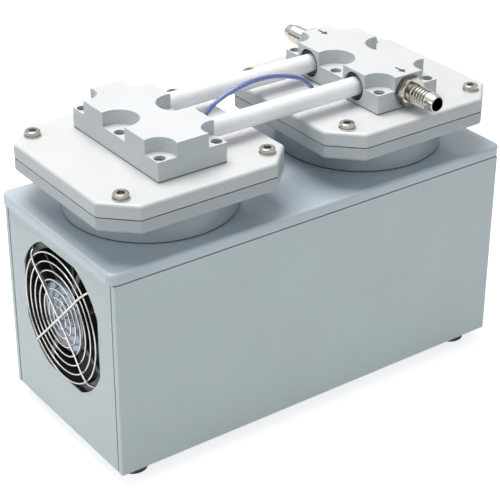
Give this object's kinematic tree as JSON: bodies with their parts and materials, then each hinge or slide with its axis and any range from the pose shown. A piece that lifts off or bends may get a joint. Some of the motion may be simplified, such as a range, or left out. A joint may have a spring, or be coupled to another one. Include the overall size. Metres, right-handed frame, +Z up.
{
  "type": "diaphragm vacuum pump",
  "caption": "Oil-free diaphragm vacuum pump: double-shafted motor in a sheet-metal casing with a fan, under octagonal pump heads joined by manifold blocks, tubes and a balance hose.",
  "frame": {"origin": "on the surface that the feet stand on, under the middle of the casing", "axes": "+X along the casing from its fan end towards its mains inlet end, +Y to the rear, +Z up"},
  "size_m": [0.396, 0.1992, 0.2778],
  "materials": {
    "casing_paint": "fine satin powder coat, pale grey-green",
    "deck_paint": "smooth satin paint, pale blue-grey",
    "head_aluminium": "fine blasted aluminium, pale blue-grey",
    "block_aluminium": "milled and blasted aluminium, soft satin",
    "tube_steel": "drawn and polished tube",
    "screw_steel": "plain steel screw, slightly worn",
    "washer_steel": "bright plain washer",
    "nozzle_nickel": "turned and nickel plated",
    "foot_rubber": "matt black rubber",
    "seal_rubber": "black nitrile rubber",
    "gasket_fibre": "grey fibre gasket sheet",
    "diaphragm_rubber": "fabric-backed rubber",
    "valve_steel": "thin spring steel",
    "hose_plastic": "clear blue-violet polyurethane",
    "fitting_steel": "small turned steel fitting",
    "guard_wire": "bright plated wire",
    "fan_plastic": "black moulded plastic",
    "fan_cap_metal": "thin bright aluminium disc",
    "blade_plastic": "black moulded plastic",
    "motor_aluminium": "die-cast aluminium",
    "shaft_steel": "ground steel",
    "lamination_steel": "stacked electrical sheet",
    "winding_copper": "varnished copper wire",
    "bearing_steel": "ground bearing steel",
    "rod_aluminium": "machined aluminium",
    "cradle_steel": "black painted pressing",
    "capacitor_can": "white plastic can",
    "inlet_plastic": "black moulded plastic",
    "pin_brass": "plated brass blades",
    "rocker_plastic": "black glossy rocker"
  },
  "bodies": {
    "root": {"base_plate": "casing_paint", "front_cover": "casing_paint", "rear_cover": "casing_paint", "left_end_panel": "casing_paint", "right_end_panel": "casing_paint", "top_plate": "deck_paint", "rubber_feet": "foot_rubber", "foot_screws": "screw_steel", "foot_nuts": "screw_steel", "cover_screws": "screw_steel", "crankcase_left": "head_aluminium", "crankcase_right": "head_aluminium", "head_plate_left": "head_aluminium", "head_plate_right": "head_aluminium", "manifold_left": "block_aluminium", "manifold_right": "block_aluminium", "manifold_gaskets": "gasket_fibre", "manifold_screws": "screw_steel", "head_screws": "screw_steel", "head_washers": "washer_steel", "connecting_tube_front": "tube_steel", "connecting_tube_rear": "tube_steel", "tube_seals": "seal_rubber", "hose_nozzle_front": "nozzle_nickel", "hose_nozzle_rear": "nozzle_nickel", "nozzle_seals": "seal_rubber", "balance_hose": "hose_plastic", "hose_fittings": "fitting_steel", "diaphragm_left": "diaphragm_rubber", "diaphragm_right": "diaphragm_rubber", "valve_flaps": "valve_steel", "motor_housing": "motor_aluminium", "motor_bells": "motor_aluminium", "stator_core": "lamination_steel", "stator_winding": "winding_copper", "shaft_bearings": "bearing_steel", "motor_cradle": "cradle_steel", "capacitor": "capacitor_can", "fan_frame": "fan_plastic", "fan_cap": "fan_cap_metal", "fan_guard": "guard_wire", "fan_studs": "screw_steel", "fan_nuts": "screw_steel", "power_inlet": "inlet_plastic", "inlet_pins": "pin_brass", "switch_housing": "inlet_plastic"},
    "shaft": {"motor_shaft": "shaft_steel", "motor_rotor": "lamination_steel", "eccentric_left": "shaft_steel", "eccentric_right": "shaft_steel"},
    "rod_left": {"connecting_rod_left": "rod_aluminium", "rod_bearing_left": "bearing_steel", "clamp_disc_left": "rod_aluminium", "clamp_screw_left": "screw_steel"},
    "rod_right": {"connecting_rod_right": "rod_aluminium", "rod_bearing_right": "bearing_steel", "clamp_disc_right": "rod_aluminium", "clamp_screw_right": "screw_steel"},
    "fan": {"fan_rotor": "blade_plastic"},
    "rocker": {"rocker_switch": "rocker_plastic"}
  },
  "joints": [
    {"name": "shaft_spin", "type": "hinge", "parent": "root", "child": "shaft", "pos_m": [0, 0, 0.117], "axis": [1, 0, 0], "continuous": true},
    {"name": "rod_left_orbit", "type": "hinge", "parent": "shaft", "child": "rod_left", "pos_m": [-0.107, 0, 0.1195], "axis": [1, 0, 0], "continuous": true, "deforming": ["diaphragm_left"]},
    {"name": "rod_right_orbit", "type": "hinge", "parent": "shaft", "child": "rod_right", "pos_m": [0.107, 0, 0.1145], "axis": [1, 0, 0], "continuous": true, "deforming": ["diaphragm_right"]},
    {"name": "fan_spin", "type": "hinge", "parent": "root", "child": "fan", "pos_m": [-0.18, 0, 0.117], "axis": [1, 0, 0], "continuous": true},
    {"name": "rocker_tilt", "type": "hinge", "parent": "root", "child": "rocker", "pos_m": [0.1905, 0.008, 0.048], "axis": [0, 0, 1], "range_deg": [-18, 0]}
  ],
  "couplings": [
    {"joint": "rod_left_orbit", "follows": "shaft_spin", "ratio": -1},
    {"joint": "rod_right_orbit", "follows": "shaft_spin", "ratio": -1}
  ]
}
